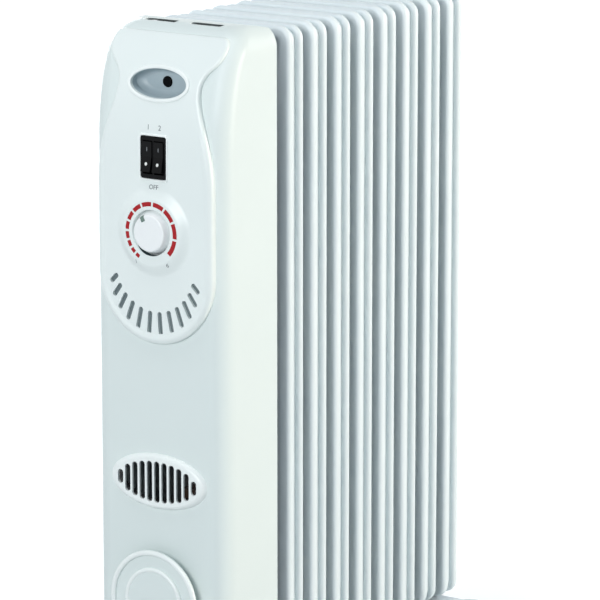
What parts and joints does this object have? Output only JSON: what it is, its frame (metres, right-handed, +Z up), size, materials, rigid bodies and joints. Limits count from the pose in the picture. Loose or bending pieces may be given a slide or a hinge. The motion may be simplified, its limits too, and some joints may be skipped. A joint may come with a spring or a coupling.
{
  "type": "oil filled radiator heater",
  "caption": "Oil filled radiator heater with pressed steel fins, a moulded control housing with thermostat knob and rocker switches, a cord spool, and feet on swivel castors.",
  "frame": {"origin": "on the floor under the middle of the heater's outline", "axes": "+Z up, -Y is the way the controls face, +X is to the right of a person who faces the controls"},
  "size_m": [0.25, 0.4082, 0.6577],
  "materials": {
    "fin_enamel": "satin",
    "cover_plastic": "semi gloss",
    "panel_plastic": "semi gloss",
    "dish_plastic": "satin",
    "lamp_lens": "gloss",
    "switch_plastic": "satin",
    "rocker_plastic": "gloss",
    "knob_plastic": "semi gloss",
    "zinc_plated_steel": "plated",
    "element_steel": "heat tinted",
    "phenolic_moulding": "moulded",
    "inlet_rubber": "moulded",
    "foot_enamel": "satin",
    "castor_plastic": "moulded",
    "wheel_plastic": "moulded"
  },
  "bodies": {
    "heater": {"fin_1": "fin_enamel", "fin_2": "fin_enamel", "fin_3": "fin_enamel", "fin_4": "fin_enamel", "fin_5": "fin_enamel", "fin_6": "fin_enamel", "fin_7": "fin_enamel", "fin_8": "fin_enamel", "upper_hub_collars": "fin_enamel", "lower_hub_collars": "fin_enamel", "rear_hub_caps": "fin_enamel", "oil_filler_plug": "zinc_plated_steel", "filler_plug_nut": "zinc_plated_steel", "element_lock_nut": "zinc_plated_steel", "back_plate": "zinc_plated_steel", "bottom_plate": "zinc_plated_steel", "plate_screws": "zinc_plated_steel", "panel_screws": "zinc_plated_steel", "thermostat_nut": "zinc_plated_steel", "heating_element": "element_steel", "front_cover": "cover_plastic", "control_panel": "panel_plastic", "vent_grille": "cover_plastic", "cord_spool": "cover_plastic", "indicator_dish": "dish_plastic", "pilot_lamp": "lamp_lens", "switch_body": "switch_plastic", "thermostat_body": "phenolic_moulding", "terminal_block": "phenolic_moulding", "thermal_cutout": "phenolic_moulding", "cord_inlet": "inlet_rubber", "foot_front": "foot_enamel", "u_bolt_front": "zinc_plated_steel", "wing_nuts_front": "zinc_plated_steel", "foot_rear": "foot_enamel", "u_bolt_rear": "zinc_plated_steel", "wing_nuts_rear": "zinc_plated_steel"},
    "thermostat_control": {"thermostat_knob": "knob_plastic", "thermostat_shaft": "zinc_plated_steel"},
    "left_rocker": {"rocker_left": "rocker_plastic"},
    "right_rocker": {"rocker_right": "rocker_plastic"},
    "castor_front_left": {"castor_body_front_left": "castor_plastic", "castor_axle_front_left": "zinc_plated_steel"},
    "wheels_front_left": {"castor_wheels_front_left": "wheel_plastic"},
    "castor_front_right": {"castor_body_front_right": "castor_plastic", "castor_axle_front_right": "zinc_plated_steel"},
    "wheels_front_right": {"castor_wheels_front_right": "wheel_plastic"},
    "castor_rear_left": {"castor_body_rear_left": "castor_plastic", "castor_axle_rear_left": "zinc_plated_steel"},
    "wheels_rear_left": {"castor_wheels_rear_left": "wheel_plastic"},
    "castor_rear_right": {"castor_body_rear_right": "castor_plastic", "castor_axle_rear_right": "zinc_plated_steel"},
    "wheels_rear_right": {"castor_wheels_rear_right": "wheel_plastic"}
  },
  "joints": [
    {"name": "thermostat_turn", "type": "hinge", "parent": "heater", "child": "thermostat_control", "pos_m": [0, -0.19545, 0.477], "axis": [0, 1, 0], "range_deg": [-126, 174]},
    {"name": "left_rocker_tilt", "type": "hinge", "parent": "heater", "child": "left_rocker", "pos_m": [-0.00575, -0.192, 0.5435], "axis": [1, 0, 0], "range_deg": [0, 14]},
    {"name": "right_rocker_tilt", "type": "hinge", "parent": "heater", "child": "right_rocker", "pos_m": [0.00575, -0.192, 0.5435], "axis": [1, 0, 0], "range_deg": [0, 14]},
    {"name": "castor_front_left_swivel", "type": "hinge", "parent": "heater", "child": "castor_front_left", "pos_m": [-0.105, -0.05845, 0.0445], "axis": [0, 0, 1], "continuous": true},
    {"name": "wheels_front_left_roll", "type": "hinge", "parent": "castor_front_left", "child": "wheels_front_left", "pos_m": [-0.105, -0.07345, 0.02], "axis": [1, 0, 0], "continuous": true},
    {"name": "castor_front_right_swivel", "type": "hinge", "parent": "heater", "child": "castor_front_right", "pos_m": [0.105, -0.05845, 0.0445], "axis": [0, 0, 1], "continuous": true},
    {"name": "wheels_front_right_roll", "type": "hinge", "parent": "castor_front_right", "child": "wheels_front_right", "pos_m": [0.105, -0.07345, 0.02], "axis": [1, 0, 0], "continuous": true},
    {"name": "castor_rear_left_swivel", "type": "hinge", "parent": "heater", "child": "castor_rear_left", "pos_m": [-0.105, 0.16955, 0.0445], "axis": [0, 0, 1], "continuous": true},
    {"name": "wheels_rear_left_roll", "type": "hinge", "parent": "castor_rear_left", "child": "wheels_rear_left", "pos_m": [-0.105, 0.15455, 0.02], "axis": [1, 0, 0], "continuous": true},
    {"name": "castor_rear_right_swivel", "type": "hinge", "parent": "heater", "child": "castor_rear_right", "pos_m": [0.105, 0.16955, 0.0445], "axis": [0, 0, 1], "continuous": true},
    {"name": "wheels_rear_right_roll", "type": "hinge", "parent": "castor_rear_right", "child": "wheels_rear_right", "pos_m": [0.105, 0.15455, 0.02], "axis": [1, 0, 0], "continuous": true}
  ]
}
